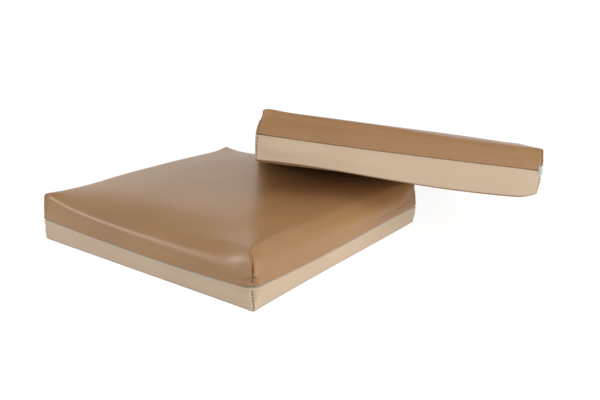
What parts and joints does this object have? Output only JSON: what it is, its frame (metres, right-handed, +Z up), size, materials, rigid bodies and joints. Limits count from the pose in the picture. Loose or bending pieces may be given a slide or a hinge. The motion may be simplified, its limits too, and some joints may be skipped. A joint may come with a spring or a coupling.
{
  "type": "massage cushion set",
  "caption": "Square foam cushions in two-tone tan and beige vinyl covers that unzip at the waist, one lying flat and its match leaning on its far edge; padding for a massage table.",
  "frame": {"origin": "middle of the flat cushion's underside, on the floor", "axes": "+Z up; +X along the flat cushion's front side; +Y from its front side towards the leaning cushion"},
  "size_m": [0.5914, 0.7073, 0.1991],
  "materials": {
    "tan_vinyl": "semi-gloss vinyl",
    "beige_vinyl": "semi-gloss vinyl",
    "foam": "open-cell foam",
    "tape": "woven polyester",
    "thread": "bonded thread",
    "teeth": "nylon",
    "zip_metal": "nickel plate"
  },
  "bodies": {
    "lower_cushion": {"lower_top_cover": "tan_vinyl", "lower_bottom_cover": "beige_vinyl", "lower_foam_core": "foam", "lower_waist_seam_tape": "tape", "lower_top_corner_stitches": "thread", "lower_bottom_corner_stitches": "thread", "lower_zip_tape_top": "tape", "lower_zip_tape_bottom": "tape", "lower_zip_teeth_top": "teeth", "lower_zip_teeth_bottom": "teeth", "lower_zip_top_stops": "zip_metal", "lower_zip_bottom_stop": "zip_metal"},
    "lower_slider": {"lower_zip_slider": "zip_metal"},
    "lower_pull": {"lower_zip_pull": "zip_metal"},
    "upper_cushion": {"upper_top_cover": "tan_vinyl", "upper_bottom_cover": "beige_vinyl", "upper_foam_core": "foam", "upper_waist_seam_tape": "tape", "upper_top_corner_stitches": "thread", "upper_bottom_corner_stitches": "thread", "upper_zip_tape_top": "tape", "upper_zip_tape_bottom": "tape", "upper_zip_teeth_top": "teeth", "upper_zip_teeth_bottom": "teeth", "upper_zip_top_stops": "zip_metal", "upper_zip_bottom_stop": "zip_metal"},
    "upper_slider": {"upper_zip_slider": "zip_metal"},
    "upper_pull": {"upper_zip_pull": "zip_metal"}
  },
  "joints": [
    {"name": "upper_lift", "type": "slide", "parent": "lower_cushion", "child": "upper_cushion", "axis": [0, 0, 1], "range_m": [0, 0.2]},
    {"name": "lower_zip_run", "type": "slide", "parent": "lower_cushion", "child": "lower_slider", "axis": [0, 1, 0], "range_m": [0, 0.3357]},
    {"name": "lower_pull_swing", "type": "hinge", "parent": "lower_slider", "child": "lower_pull", "pos_m": [-0.20302, -0.1502, 0.032], "axis": [0, 0, -1], "range_deg": [0, 170]},
    {"name": "upper_zip_run", "type": "slide", "parent": "upper_cushion", "child": "upper_slider", "axis": [0.6343, -0.7423, 0.2162], "range_m": [0, 0.3357]},
    {"name": "upper_pull_swing", "type": "hinge", "parent": "upper_slider", "child": "upper_pull", "pos_m": [0.16974, 0.4664, 0.03812], "axis": [0.0406, -0.2473, -0.9681], "range_deg": [0, 170]}
  ]
}
